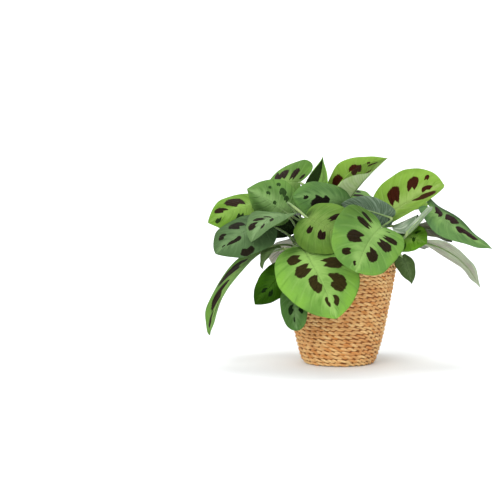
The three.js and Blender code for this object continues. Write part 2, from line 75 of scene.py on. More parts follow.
# How uneven the rope is: the drift of its twist in radians, each row's rise and fall, which fade out in the
# first and last CALM_ROWS, and a strand's girth.
ROPE_SEED = 11
TWIST_DRIFT = 1.3
ROW_WOBBLE = 0.3
ROW_WAVE = 0.5
ROW_WAVES = 3
ROW_WAVE_CLIMB = 9
CALM_ROWS = 3
STRAND_GIRTH = (0.8, 1.14)
# The thin core behind the strands closes the gaps between them; its dark brown is painted shade, the shade
# deep in those gaps.
CORE_HALF_THICKNESS = 0.6
CORE_SIDES = 72

# Soil: its surface from the middle out, each as (radius, height over SOIL_TOP), and the lumps on it.
SOIL_TOP = 108
SOIL_RADIUS = 53.5
SOIL_SURFACE = [(0, 2.1), (22, 1.5), (40, -0.5), (54, -2)]
SOIL_SEED = 5
SOIL_CRUMBS = 1400
CRUMB_SIZES = (0.7, 2.3)
PERLITE_CRUMBS = 110
PERLITE_SIZES = (0.6, 1.5)
LUMP_RISE = (-0.2, 0.4)
LUMP_STRETCH = (0.65, 1.2)
LUMP_UNEVEN = (0.8, 1.2)
# A lump before it is made uneven: the twelve corners and twenty faces of an icosahedron.
GOLDEN = (1 + 5 ** 0.5) / 2
CORNERS = [(a, b) for b in (GOLDEN, -GOLDEN) for a in (-1, 1)]
LUMP_POINTS = [(a, b, 0) for a, b in CORNERS]
LUMP_POINTS += [(0, a, b) for a, b in CORNERS] + [(b, 0, a) for a, b in CORNERS]
LUMP_FACES = [
    (0, 11, 5), (0, 5, 1), (0, 1, 7), (0, 7, 10), (0, 10, 11), (1, 5, 9), (5, 11, 4), (11, 10, 2), (10, 7, 6),
    (7, 1, 8), (3, 9, 4), (3, 4, 2), (3, 2, 6), (3, 6, 8), (3, 8, 9), (4, 9, 5), (2, 4, 11), (6, 2, 10),
    (8, 6, 7), (9, 8, 1),
]

# Leaf blades, down to WAVE_SHIFT as in the part's source. The edge's waves and ragged shape start at another
# place on each leaf, its base's x or y over the START number, and on each of its halves.
HEEL = 0.17
LOBE_PULL = 0.42
SHOULDER = 0.58
TAPER = 0.93
TIP_WIDTH = 0.32
VEIN_SWEEP = 1.25
EDGE_WAVES = 3
WAVE_START = 50
WAVE_SHIFT = 0.35
RAGGED_HEIGHT = 0.008
RAGGED_TURNS = (23, 41)
RAGGED_START = 70
RAGGED_SHIFT = 0.3
BLADE_THICKNESS = 0.5
BLADE_ROWS = 56
BLADE_COLUMNS = 44
LATERAL_VEINS = 11
VEIN_ARCH = 0.06
GROOVE_DEPTH = 0.35
GROOVE_WIDTH = 1.3
ROLL_SLOPE = 3.0
NO_BEND = 1e-6

# Stems and stalks. A stem bends towards its top from STEM_BEND on, as a share of its height.
STEM_RADIUS = 2.7
STEM_TAPER = 0.3
STEM_SUNK = 20
STEM_UPRIGHT = 4
STEM_BEND = 0.15
STEM_STEPS = 14
STEM_JOINTS = 2.5
JOINT_BULGE = 0.25
JOINT_SHARPNESS = 6
STALK_SIDES = 12
STALK_STEPS = 40
PETIOLE_RADIUS = 1.25
SHEATH_RADIUS = 1.9
SHEATH_SHARE = 0.3
PULVINUS_RADIUS = 1.75
PULVINUS_LENGTH = 9
PULVINUS_DROP = 1.1
# Where a stalk has no route of its own, it leaves and arrives by these shares of its span.
STALK_OUT = 0.12
STALK_UP = 0.45
STALK_BACK = 0.16
# The rib under the blade, as (share of the midrib, radius), and how deep it lies.
RIB = [(0.05, 1.15), (0.12, 0.95), (0.25, 0.7), (0.45, 0.5), (0.7, 0.35), (0.9, 0.2)]
RIB_DROP = 0.35
RIB_SINK = 0.85

# A leaf that says nothing else has this form. bow lifts the midrib, sway bends it sideways; fold tilts the
# left and right halves and curl bends them, in degrees; start is how far up the stem the stalk grows out, and
# over its route; belly is the widest place, blunt rounds the tip, lean widens the left half; wave and pleat
# are heights; under is the underside's look, and from u = rolled on it shows the upper side again.
PLAIN_LEAF = {
    "bow": 6, "sway": 0, "fold": (0, 0), "curl": (-20, -20), "start": 0.7, "over": None, "belly": 0.38,
    "blunt": 0, "lean": 0, "wave": 1.2, "pleat": 0.2, "under": "silver", "rolled": 0,
}

# Blotches, in hundredths: (u, v, half width along u, half width along v). u runs from the stalk (0) to the
# tip (100) along the veins' ends, and v from the left edge (-100) over the midrib to the right edge (100).
PLAIN_SPOTS = [
    (28, 47, 3, 20), (40, 50, 4, 23), (55, 50, 6, 22), (71, 46, 5, 17), (85, 36, 3, 10), (31, -48, 3.2, 20),
    (46, -50, 5.2, 23), (62, -49, 5.6, 20), (77, -43, 4.2, 14), (89, -30, 2.2, 8),
]
# The leaves at the front have their own, here by (stem, leaf).
SPOTS = {
    (1, 1): [(34.5, -50, 3.8, 26), (45.5, -38, 4.4, 25), (65.5, -40, 6.8, 24), (81, -61, 3.2, 17),
        (92.5, -35, 2.2, 12), (28, 38, 1.5, 10), (44, 48, 4.4, 28), (55.5, 43, 5.6, 28), (75.5, 33, 6.8, 26)],
    (1, 2): [(72, -10, 4, 25), (50, -65, 5, 25), (62, 50, 4, 25)],
    (2, 1): [(36, -42, 6.5, 22), (52, -30, 6.2, 23), (70, -22, 8, 19), (87.5, -20, 3.8, 14),
        (52, 44, 5.5, 26), (70, 45, 8, 25), (86, 38, 4.2, 17)],
    (2, 2): [(78.5, -25, 4, 20), (73, 42, 4, 20)],
    (2, 3): [(67, -27, 7, 25), (64, 52, 5, 20), (85, -17, 3.5, 12)],
    (3, 1): [(58.5, 48, 3.5, 26), (44, -35, 4, 16), (62.5, -34, 5.5, 19)],
    (3, 2): [(88, 3, 2.2, 30), (70, 17, 10, 42)],
    (4, 1): [(67, -42, 3, 30), (61, -17, 2, 20), (78, -62, 6, 26), (79.5, 25, 3.5, 22), (65.5, 33, 3, 22)],
    (4, 2): [(56, -49, 8, 25), (76.5, -62, 5, 15), (78, 17, 9, 15), (90.5, -2, 2, 12), (64, 83, 7, 17)],
    (5, 1): [(60, -45, 10, 34), (80, -48, 5, 36)],
    (5, 2): [(47.5, -50, 8, 40), (71.5, -42, 10, 30), (88.5, -55, 5.5, 24)],
    (6, 1): [(65.5, -42, 7.5, 28), (45.5, -33, 6, 28), (22, -38, 5, 22), (74.5, -48, 3, 36)],
    (6, 2): [(52, -55, 5, 16), (44, -42, 4, 13), (59.5, -78, 2.5, 8), (60, -5, 3, 9), (70, -62, 2, 8),
        (72, -35, 3, 9)],
    (7, 2): [(44, 62, 6, 26), (64, 52, 5.8, 22), (64, -85, 5, 25), (75, -95, 1.5, 10), (80, -76, 5.5, 8),
        (75, -30, 5, 7)],
    (8, 1): [(50, 40, 7, 28), (70, 52, 5.5, 23), (82, 72, 2.2, 13), (85.5, 22, 5, 16), (75.5, -45, 8, 45)],
    (9, 1): [(37, 20, 7.5, 42), (55, 35, 7, 38), (76, 10, 11, 45)],
    (1, 3): [], (2, 4): [], (4, 3): [], (7, 1): [], (8, 2): [], (8, 3): [], (9, 2): [], (9, 3): [],
    (9, 4): [],
}
# Painted shadows, near black, in the same form: the shade in gaps and crevices beside other leaves, and on the
# shaded half of a folded leaf.
PAINTED_SHADOWS = {
    (5, 1): [(88.5, 45, 3, 30), (63, 40, 5, 22)],
    (5, 2): [(88.5, 0, 8.5, 12)],
    (7, 1): [(50, 62, 52, 40)],
}
# Softly shaded parts, which have a strength as well.
SHADED = {
    (1, 1): [(34, -85, 32, 55, 75)],
    (2, 1): [(4, -20, 28, 120, 100), (14, -60, 26, 60, 100)],
    (3, 1): [(45, -95, 30, 30, 60), (10, 35, 24, 60, 100), (12, 32, 18, 36, 100)],
    (3, 2): [(28, 30, 42, 90, 100)],
    (6, 1): [(25, 0, 25, 100, 60)],
    (6, 2): [(20, 30, 35, 80, 60), (64, 75, 26, 45, 100)],
    (8, 1): [(40, -80, 40, 40, 50)],
    (9, 1): [(45, 95, 45, 40, 80)],
}


def leaf(base, tip, across, width, look="fresh", **form):
    return {"base": base, "tip": tip, "across": across, "width": width, "look": look, **PLAIN_LEAF, **form}


def stem(foot, top, *leaves):
    return {"foot": foot, "top": top, "leaves": leaves}


# leafy_stem_01 to leafy_stem_12, as in the part's source.
STEMS = [
    stem((24, -26), (30, -34, 26),
        leaf((50, -50, 168), (19, -120, 121), (0.86, -0.05, -0.51), 85, bow=5, sway=-4, fold=(10, 8),
            curl=(-8, -14), start=0.9, belly=0.27, blunt=1.4, lean=0.11),
        leaf((76, 2, 154), (105, -18, 147), (0.3, 0.6, 0.7), 44, "bright", bow=4),
        leaf((75, -24, 131), (87, -32, 99), (0.85, 0.45, 0.1), 26, "dark", bow=3, start=0.5, belly=0.3,
            blunt=-0.6, over=((42, -26, 140), (67, -20, 147)))),
    stem((-22, -34), (-30, -42, 22),
        leaf((-42, -67, 144), (-3, -111, 66), (0.95, 0.22, -0.08), 98, "spring", bow=8, fold=(-3, 6),
            curl=(-10, -6), start=0.9, blunt=0.25),
        leaf((-61, -49, 120), (-100, -55, 76), (0.85, -0.1, -0.5), 38, "deep", bow=4, start=0.5,
            over=((-40, -38, 160), (-64, -48, 150))),
        leaf((-55, -72, 96), (-49, -88, 49), (0.97, 0, 0.2), 32, "sage", bow=5, fold=(5, 5), curl=(-10, -10),
            start=0.4, blunt=0.9, over=((-44, -44, 162), (-70, -62, 150))),
        leaf((-70, -57, 143), (-91, -65, 119), (0.6, -0.6, 0.3), 26, "dark", bow=6, fold=(10, 10),
            curl=(10, 10))),
    stem((-6, -14), (-8, -18, 34),
        leaf((-39, -48, 180), (14, -60, 146), (0.5, 0.5, 0.65), 80, "olive", fold=(0, -5), curl=(-4, -12),
            start=0.9, over=((-56, -14, 186), (-84, -35, 217))),
        leaf((12, -9, 192), (-56, -27, 203), (0.1, -0.65, -0.75), 62, "blue", fold=(0, -30), blunt=0.4)),
    stem((-34, -10), (-42, -14, 24),
        leaf((-63, -32, 181), (-104, -68, 151), (0.64, -0.7, -0.3), 62, "grey", bow=12, fold=(0, 25),
            curl=(-12, -12), start=0.9),
        leaf((-89, -26, 171), (-147, -52, 136), (0.5, -0.74, -0.45), 78, "slate", blunt=0.3),
        leaf((-48, 4, 175), (-92, 7, 155), (0.35, 0, -0.93), 28, "shadowed", bow=2, start=0.5)),
    stem((-36, 12), (-46, 12, 22),
        leaf((-92, 20, 190), (-160, -2, 170), (0.375, -0.763, -0.51), 66, "yellow", bow=8, fold=(0, -45),
            curl=(-10, -20), start=0.9, over=((-60, 12, 158), (-86, 12, 176))),
        leaf((-86, -24, 143), (-155, -40, 37), (0.28, -0.935, -0.016), 60, "meadow", bow=15, fold=(10, 10),
            curl=(0, 0), belly=0.62, blunt=0.8)),
    stem((-16, 8), (-22, 8, 40),
        leaf((-49, 22, 219), (-99, 76, 207), (-0.49, -0.65, -0.87), 82, "meadow", bow=5, curl=(-10, -10),
            start=0.9, belly=0.3),
        leaf((-60, -16, 182), (-112, -8, 212), (-0.7, -0.2, -0.55), 70, "mist", bow=4, fold=(-10, -55),
            curl=(-10, 0))),
    stem((2, 10), (2, 12, 44),
        leaf((-23, 38, 190), (-21, 30, 251), (-0.92, 0.4, 0), 48, "sunlit", bow=-4, fold=(50, 50),
            curl=(0, 0), start=0.8, blunt=-0.8),
        leaf((9, 39, 195), (59, 33, 249), (-0.42, 0.81, 0.405), 78, "lime", bow=3, fold=(70, 42),
            curl=(0, -15), start=0.95, belly=0.26, blunt=-0.6, under="pale", rolled=0.5),
        leaf((4, 50, 196), (6, 114, 206), (-0.99, 0.1, 0), 72, start=0.9)),
    stem((20, 2), (26, 0, 40),
        leaf((54, 36, 174), (127, 26, 217), (-0.4, 0.4, 0.78), 84, "lime", fold=(60, 5), curl=(-15, -15),
            start=0.9, blunt=0.9),
        leaf((61, -14, 178), (2, -20, 195), (0.2, -0.2, 0.95), 34, "blue", bow=4, curl=(15, 20), pleat=1.1,
            under="shaded"),
        leaf((66, -5, 166), (95, -7, 181), (0.2, -0.7, 0.7), 42, "slate", bow=0, fold=(20, 20),
            curl=(140, 140), start=0.5, under="tube")),
    stem((38, 2), (50, 2, 26),
        leaf((109, -13, 190), (183, -19, 141), (0.3, 0.85, 0.4), 46, "jade", bow=-2, sway=-2, fold=(-10, 0),
            curl=(-20, -10), start=0.9, wave=2, belly=0.25, blunt=-0.5, under="tube",
            over=((60, 0, 140), (90, -38, 160))),
        leaf((107, 8, 146), (170, -4, 93), (-0.07, 0.92, -0.3), 60, "grey", bow=11, curl=(0, 0), start=0.5,
            belly=0.48, under="satin"),
        leaf((92, 14, 165), (138, 20, 146), (-0.1, 0.9, -0.4), 46, "dark", curl=(0, 0), under="dusky",
            over=((58, 18, 148), (78, 20, 166))),
        leaf((80, -40, 162), (110, -38, 192), (0.7, 0.1, -0.7), 22, "slate", bow=0, fold=(20, 20),
            curl=(150, 150), start=0.8, under="tube", over=((58, 6, 142), (80, -36, 150)))),
    stem((-26, 32), (-36, 38, 26),
        leaf((-62, 38, 172), (-125, 85, 160), (-0.6, -0.8, 0), 72, bow=8, fold=(-5, -5)),
        leaf((-55, 48, 148), (-68, 105, 100), (-0.98, -0.2, 0), 62, "blue", bow=8, fold=(-5, -5), start=0.5,
            under="striped"),
        leaf((-45, 34, 186), (-89, 88, 188), (-0.8, -0.6, 0), 66, "grey", bow=8, start=0.95)),
    stem((-2, 36), (-4, 42, 30),
        leaf((-27, 46, 160), (-32, 122, 100), (-0.99, 0.1, 0), 72, "lime", bow=10, fold=(-5, -5)),
        leaf((34, 70, 140), (40, 106, 58), (-0.99, 0.1, 0), 70, bow=9, fold=(-5, -5), curl=(-15, -15),
            start=0.5),
        leaf((-8, 48, 184), (-2, 122, 172), (-0.99, 0.1, 0), 74, "olive", bow=8, start=0.95,
            over=((-6, 34, 155), (-8, 34, 176)))),
    stem((26, 28), (32, 32, 30),
        leaf((18, 48, 172), (24, 126, 122), (-0.99, 0.1, 0), 78, bow=10, fold=(-5, -5)),
        leaf((66, 38, 152), (108, 96, 132), (-0.8, 0.6, 0), 60, "blue", bow=8, fold=(-5, -5), start=0.5),
        leaf((62, 56, 184), (106, 102, 190), (-0.75, 0.6, 0), 70, "lime", bow=8, start=0.95,
            over=((44, 38, 156), (60, 40, 176)))),
]

# Leaf colours as sRGB, as they look in the light: blade, pale zone, rim, darker green and blotch. The darker
# green is the leaf's own between the veins and at random, and is also painted shade at the leaf's base.
LOOKS = {
    "fresh": ((112, 158, 74), (150, 190, 104), (120, 166, 70), (92, 136, 60), (46, 36, 18)),
    "sunlit": ((148, 202, 94), (172, 216, 118), (150, 206, 88), (118, 168, 70), (60, 40, 24)),
    "spring": ((122, 170, 76), (156, 198, 104), (132, 184, 70), (92, 138, 52), (62, 54, 24)),
    "bright": ((106, 160, 40), (144, 188, 82), (114, 170, 50), (72, 120, 26), (52, 94, 16)),
    "olive": ((104, 142, 60), (130, 162, 80), (112, 150, 58), (84, 122, 46), (44, 28, 18)),
    "lime": ((138, 178, 70), (166, 198, 106), (142, 184, 72), (112, 152, 52), (72, 30, 12)),
    "yellow": ((118, 162, 56), (142, 182, 84), (122, 168, 60), (90, 128, 40), (50, 30, 12)),
    "meadow": ((104, 148, 62), (132, 170, 88), (110, 156, 64), (82, 122, 50), (46, 30, 18)),
    "mist": ((102, 142, 72), (132, 168, 100), (110, 152, 72), (72, 106, 48), (56, 84, 40)),
    "blue": ((82, 120, 62), (112, 150, 86), (98, 140, 68), (66, 100, 50), (24, 24, 12)),
    "slate": ((88, 118, 74), (112, 144, 94), (78, 108, 64), (64, 92, 54), (38, 34, 22)),
    "jade": ((112, 154, 84), (138, 178, 104), (90, 128, 78), (72, 106, 64), (56, 36, 34)),
    "grey": ((110, 142, 90), (136, 168, 114), (104, 136, 84), (82, 110, 68), (46, 36, 28)),
    "sage": ((80, 118, 58), (112, 146, 90), (92, 132, 66), (60, 96, 40), (24, 44, 14)),
    "deep": ((44, 84, 4), (62, 104, 22), (52, 94, 8), (26, 54, 2), (18, 42, 6)),
    # Painted shade: the next two are darker copies of the leaf colours, for leaves in the shade of others
    # inside the plant.
    "dark": ((82, 106, 58), (100, 124, 76), (80, 104, 56), (60, 82, 40), (34, 44, 24)),
    "shadowed": ((36, 52, 26), (46, 64, 34), (36, 52, 26), (24, 38, 16), (16, 24, 12)),
}
# The underside's colour, tinge, vein and streak, and how fast the streaks change along u and along v. The
# light streaks are partly the underside's own silvery lines and partly painted sheen.
UNDERSIDES = {
    "silver": ((158, 174, 144), (150, 150, 144), (118, 122, 112), (178, 190, 166), (34.0, 0.8)),
    "satin": ((194, 214, 176), (188, 184, 172), (150, 148, 132), (214, 234, 196), (2.4, 8.0)),
    "striped": ((204, 212, 192), (192, 196, 182), (84, 94, 74), (212, 218, 202), (34.0, 0.8)),
    # Painted shade: the next two are darker undersides, for leaves in the shade of others.
    "shaded": ((96, 120, 92), (88, 110, 90), (58, 80, 60), (126, 148, 124), (24.0, 1.2)),
    "dusky": ((112, 118, 80), (114, 110, 88), (78, 82, 54), (140, 144, 112), (34.0, 0.8)),
    "tube": ((134, 158, 124), (166, 184, 156), (92, 118, 90), (208, 220, 196), (2.2, 9.0)),
    # Partly the pale underside, partly painted light: lighter for a leaf lit from behind.
    "pale": ((222, 250, 176), (230, 252, 192), (196, 230, 148), (238, 255, 206), (22.0, 0.8)),
}
UNDER_MIDRIB = (206, 214, 186)
# The near-black colour of the painted shadows in gaps and crevices.
PAINTED_SHADOW = (26, 38, 18)
DEEP_SHADE = (52, 84, 38)
STALK_COLOURS = ((104, 142, 70), (150, 180, 108))
PULVINUS_COLOUR = (172, 194, 120)
# Seagrass: dull to bright strands, brown fibres, redder patches, and painted shade in the clefts between
# strands and between rows.
STRAW_COLOURS = ((212, 146, 80), (250, 220, 156))
FIBRE_COLOUR = (196, 128, 62)
PATCH_COLOUR = (204, 132, 74)
CLEFT_SHADE = (140, 84, 38)
# The core's browns are painted shade, for deep in the gaps between strands.
CORE_SHADE_COLOURS = ((98, 56, 24), (156, 98, 48))
PLASTIC_COLOURS = ((44, 33, 28), (74, 60, 52))
SOIL_COLOURS = ((26, 17, 11), (74, 53, 37))
PERLITE_COLOURS = ((168, 164, 154), (228, 226, 218))
# A surface's own colour is this much darker than it looks in the light.
SHADE = 0.72


# ---- Small helpers ----

def seen(rgb, share=SHADE):
    """A share of an sRGB colour of 0 to 255, as a linear colour with alpha."""
    out = []
    for value in rgb:
        c = value / 255
        out.append(share * (c / 12.92 if c <= 0.04045 else ((c + 0.055) / 1.055) ** 2.4))
    return (*out, 1.0)


def unit(vector):
    return vector / np.linalg.norm(vector)


def vec(xyz):
    return np.array(xyz, float)


def mesh_object(name, points, faces, uvs=None, attributes=None):
    """A mesh from points in millimetres, with smooth faces, a UV per point and float values per point."""
    mesh = bpy.data.meshes.new(name)
    mesh.from_pydata([tuple(p) for p in np.asarray(points) * MM], [], [tuple(f) for f in faces])
    if uvs is not None:
        layer = mesh.uv_layers.new(name="leaf")
        corners = np.empty(len(mesh.loops), np.int32)
        mesh.loops.foreach_get("vertex_index", corners)
        layer.data.foreach_set("uv", np.asarray(uvs, np.float32)[corners].ravel())
    for label, values in (attributes or {}).items():
        attribute = mesh.attributes.new(label, "FLOAT", "POINT")
        attribute.data.foreach_set("value", np.asarray(values, np.float32))
    mesh.polygons.foreach_set("use_smooth", [True] * len(mesh.polygons))
    mesh.update()
    piece = bpy.data.objects.new(name, mesh)
    bpy.context.scene.collection.objects.link(piece)
    return piece


def tube(points, radii, values):
    """A tube along a line, as faces and points of six numbers: the place, the UV and the ring's value."""
    points = np.asarray(points, float)
    normal = None
    rings = []
    travelled = 0.0
    for i, point in enumerate(points):
        tangent = unit(points[min(i + 1, len(points) - 1)] - points[max(i - 1, 0)])
        if normal is None:
            helper = vec((0, 0, 1)) if abs(tangent[2]) < 0.9 else vec((1, 0, 0))
            normal = unit(np.cross(helper, tangent))
        normal = unit(normal - tangent * np.dot(normal, tangent))
        binormal = np.cross(tangent, normal)
        if i:
            travelled += np.linalg.norm(point - points[i - 1])
        for k in range(STALK_SIDES):
            angle = 2 * math.pi * k / STALK_SIDES
            corner = point + radii[i] * (math.cos(angle) * normal + math.sin(angle) * binormal)
            rings.append((*corner, travelled, k / STALK_SIDES, values[i]))
    # As on a closed ring, but turned to face outward, and without the faces that would close it.
    last = (len(points) - 1) * STALK_SIDES
    faces = [(a, d, c, b) for a, b, c, d in ring_faces(len(points), STALK_SIDES)[:last]]
    faces.append(tuple(range(STALK_SIDES))[::-1])
    faces.append(tuple(last + k for k in range(STALK_SIDES)))
    return np.array(rings), faces


def ring_faces(sections, corners):
    """The faces of a ring that closes on itself, from its sections of so many corners each."""
    faces = []
    for i in range(sections):
        a = i * corners
        b = (i + 1) % sections * corners
        for k in range(corners):
            m = (k + 1) % corners
            faces.append((a + k, b + k, b + m, a + m))
    return faces


def gathered(parts):
    """Several (rings, faces) lists as one."""
    points = []
    faces = []
    count = 0
    for rings, part_faces in parts:
        points.append(rings)
        faces += [tuple(count + k for k in face) for face in part_faces]
        count += len(rings)
    return np.concatenate(points), faces


class Nodes:
    """Shorthand for building a node tree."""

    def __init__(self, tree):
        self.tree = tree

    def add(self, kind, inputs=None, **settings):
        """A new node with some settings, and its inputs set or linked by name or number."""
        node = self.tree.nodes.new(kind)
        for key, value in settings.items():
            setattr(node, key, value)
        for key, value in (inputs or {}).items():
            self.put(node.inputs[key], value)
        return node

    def put(self, socket, value):
        if isinstance(value, bpy.types.NodeSocket):
            self.tree.links.new(value, socket)
        else:
            socket.default_value = value

    def math(self, operation, *values):
        return self.add("ShaderNodeMath", dict(enumerate(values)), operation=operation).outputs[0]

    def times(self, a, b):
        return self.math("MULTIPLY", a, b)

    def scaled(self, value, factor, offset):
        return self.math("MULTIPLY_ADD", value, factor, offset)

    def step(self, value, low, high):
        """0 below low and 1 above high, smooth between; low may be above high."""
        ends = {0: value, 1: low, 2: high, 3: 0.0, 4: 1.0}
        return self.add("ShaderNodeMapRange", ends, interpolation_type="SMOOTHSTEP").outputs[0]

    def mix(self, factor, a, b, blend="MIX"):
        colours = {0: factor, 6: a, 7: b}
        return self.add("ShaderNodeMix", colours, data_type="RGBA", blend_type=blend).outputs[2]

    def tint(self, colour, other, amount, share):
        """A colour taken towards another by an amount times a share."""
        return self.mix(self.times(amount, share), colour, other)

    def noise(self, vector, scale, detail=2.0, roughness=0.5):
        inputs = {"Vector": vector, "Scale": scale, "Detail": detail, "Roughness": roughness}
        return self.add("ShaderNodeTexNoise", inputs).outputs["Fac"]

    def streaks(self, u, along, v, over, detail=2.0):
        """Noise over u and v that changes `along` times per unit of u and `over` times per unit of v."""
        return self.noise(self.combine(self.times(u, along), self.times(v, over), 0.0), 1.0, detail)

    def combine(self, x, y, z):
        return self.add("ShaderNodeCombineXYZ", {0: x, 1: y, 2: z}).outputs[0]

    def place(self):
        return self.add("ShaderNodeTexCoord").outputs["Object"]

    def uv(self):
        layer = self.add("ShaderNodeUVMap", uv_map="leaf").outputs[0]
        return self.add("ShaderNodeSeparateXYZ", {"Vector": layer}).outputs

    def stored(self, name):
        return self.add("ShaderNodeAttribute", attribute_name=name).outputs["Fac"]


def new_material(name):
    material = bpy.data.materials.new(name)
    material.use_nodes = True
    return material, Nodes(material.node_tree)


def dress(material, nodes, colour, roughness, height=None, depth=0.0, gloss=0.5, sheen=0.0):
    """Gives a material its colour, its roughness and, from a height, a bump of the given depth in metres."""
    inputs = material.node_tree.nodes["Principled BSDF"].inputs
    nodes.put(inputs["Base Color"], colour)
    nodes.put(inputs["Roughness"], roughness)
    nodes.put(inputs["Specular IOR Level"], gloss)
    nodes.put(inputs["Sheen Weight"], sheen)
    if height is not None:
        bump = nodes.add("ShaderNodeBump", {"Height": height, "Distance": depth, "Strength": 1.0})
        nodes.put(inputs["Normal"], bump.outputs[0])
    return material


# ---- Materials ----

BLOTCH_INPUTS = ("U", "A", "Centre U", "Centre A", "Half U", "Half A", "Ragged")


def blotch_group():
    """How much of one blotch, or of one painted shadow, lies at a point of the leaf: round-cornered, with
    teeth on its inner end.
    """
    tree = bpy.data.node_groups.new("blotch", "ShaderNodeTree")
    for name in BLOTCH_INPUTS:
        tree.interface.new_socket(name, in_out="INPUT", socket_type="NodeSocketFloat")
    tree.interface.new_socket("Blotch", in_out="OUTPUT", socket_type="NodeSocketFloat")
    nodes = Nodes(tree)
    given = nodes.add("NodeGroupInput").outputs
    p, q = (nodes.math("DIVIDE", nodes.math("SUBTRACT", given[axis], given[f"Centre {axis}"]),
                       given[f"Half {axis}"]) for axis in "UA")
    turn = nodes.math("FRACT", nodes.scaled(p, 0.75, 0.5))
    tooth = nodes.math("ABSOLUTE", nodes.scaled(turn, 2.0, -1.0))
    inner = nodes.math("SUBTRACT", nodes.times(tooth, -0.55), q)
    inner = nodes.math("ADD", inner, 0.55)
    outer = nodes.scaled(tooth, 0.12, q)
    depth = nodes.math("MAXIMUM", inner, outer)
    depth = nodes.math("MAXIMUM", depth, 0.0)
    wide = nodes.math("POWER", nodes.math("ABSOLUTE", p), 3.0)
    deep = nodes.math("POWER", depth, 3.0)
    reach = nodes.math("POWER", nodes.math("ADD", wide, deep), 1 / 3)
    reach = nodes.math("ADD", reach, given["Ragged"])
    nodes.add("NodeGroupOutput", {0: nodes.step(reach, 1.07, 0.93)})
    return tree


def leaf_coordinates(nodes):
    """u, signed v, |v| and the u at which the vein through the point leaves the midrib."""
    u, v, _ = nodes.uv()
    v = nodes.scaled(v, 2.0, -1.0)
    reach = nodes.math("ABSOLUTE", v)
    return u, v, reach, nodes.scaled(nodes.math("POWER", reach, 2.0), -VEIN_ARCH, u)


def vein_lines(nodes, arched, reach, count, width):
    """1 on a lateral vein and 0 between two: the veins arch towards the tip and fade out at the edge."""
    turn = nodes.math("FRACT", nodes.times(arched, count))
    away = nodes.math("ABSOLUTE", nodes.scaled(turn, 2.0, -1.0))
    line = nodes.step(away, 1.0 - width, 1.0)
    return nodes.times(line, nodes.step(reach, 1.0, 0.75))


def soft_shade(nodes, patches, u, v):
    """How much of a leaf's softly shaded parts lies at each point."""
    total = 0.0
    for patch in patches:
        centre_u, centre_v, half_u, half_v, strength = (value / 100 for value in patch)
        p = nodes.scaled(u, 1 / half_u, -centre_u / half_u)
        q = nodes.scaled(v, 1 / half_v, -centre_v / half_v)
        off = nodes.math("SQRT", nodes.scaled(p, p, nodes.times(q, q)))
        total = nodes.math("MAXIMUM", total, nodes.times(nodes.step(off, 1.1, 0.2), strength))
    return total


def blotch_cover(nodes, blotch, spots, u, v):
    """How much of any of a leaf's blotches, or of its painted shadows, lies at each point, with edges drawn
    out along the veins.
    """
    ragged = nodes.scaled(nodes.streaks(u, 60.0, v, 9.0), 0.4, -0.2)
    mirrored = nodes.times(v, -1.0)
    total = 0.0
    for spot in spots:
        centre_u, centre_v, half_u, half_v = (value / 100 for value in spot)
        side = v if centre_v > 0 else mirrored
        values = (u, side, centre_u, abs(centre_v), half_u, half_v, ragged)
        group = nodes.add("ShaderNodeGroup", dict(zip(BLOTCH_INPUTS, values)), node_tree=blotch)
        total = nodes.math("MAXIMUM", total, group.outputs[0])
    return total


def upper_colour(nodes, look, blotch, spots, painted_shadows=None, shades=None):
    """The upper side's colour, with painted shade and painted shadows, and how much vein and midrib there is.
    """
    blade, pale, rim, darker_green_and_shade, mark = (seen(rgb) for rgb in LOOKS[look])
    u, v, reach, arched = leaf_coordinates(nodes)
    broad = nodes.noise(nodes.place(), 30.0, 2.0)
    fine = nodes.noise(nodes.place(), 420.0, 3.0, 0.6)
    rays = nodes.streaks(arched, 24.0, v, 1.2)

    # The pale zone along the midrib, feathered outward between the blotches.
    feather = nodes.scaled(rays, -0.9, reach)
    colour = nodes.mix(nodes.step(feather, 0.18, -0.42), blade, pale)
    colour = nodes.tint(colour, rim, nodes.step(reach, 0.5, 0.95), nodes.step(broad, 0.35, 0.6))
    between = nodes.times(nodes.step(rays, 0.5, 0.25), nodes.step(reach, 0.12, 0.5))
    colour = nodes.tint(colour, darker_green_and_shade, between, 0.6)
    colour = nodes.tint(colour, darker_green_and_shade, nodes.step(broad, 0.5, 0.3), 0.5)

    # Lateral veins and the midrib, paler than the blade, and painted shade at the base, where the leaves above
    # shade it.
    veins = vein_lines(nodes, arched, reach, LATERAL_VEINS, 0.34)
    colour = nodes.tint(colour, pale, veins, 0.24)
    midrib = nodes.times(nodes.step(reach, 0.05, 0.012), nodes.step(u, 1.0, 0.7))
    colour = nodes.tint(colour, pale, midrib, 0.5)
    colour = nodes.tint(colour, darker_green_and_shade, nodes.step(u, 0.34, 0.02), 0.35)

    # The blotches, with fine hairs in them, the painted shade of the leaves above, and near-black painted
    # shadows in the gaps beside other leaves.
    darker = (*(0.5 * c for c in mark[:3]), 1.0)
    hairs = nodes.step(nodes.streaks(arched, 150.0, v, 8.0, 1.0), 0.3, 0.7)
    cover = blotch_cover(nodes, blotch, spots, u, v)
    colour = nodes.mix(cover, colour, nodes.mix(hairs, darker, mark))
    if shades:
        deep = nodes.mix(0.8, colour, seen(DEEP_SHADE), "MULTIPLY")
        colour = nodes.tint(colour, deep, soft_shade(nodes, shades, u, v), 0.8)
    if painted_shadows:
        colour = nodes.tint(colour, seen(PAINTED_SHADOW), blotch_cover(nodes, blotch, painted_shadows, u, v), 0.95)
    grain = nodes.scaled(fine, 0.2, 0.9)
    colour = nodes.mix(1.0, colour, nodes.combine(grain, grain, grain), "MULTIPLY")
    return colour, veins, midrib


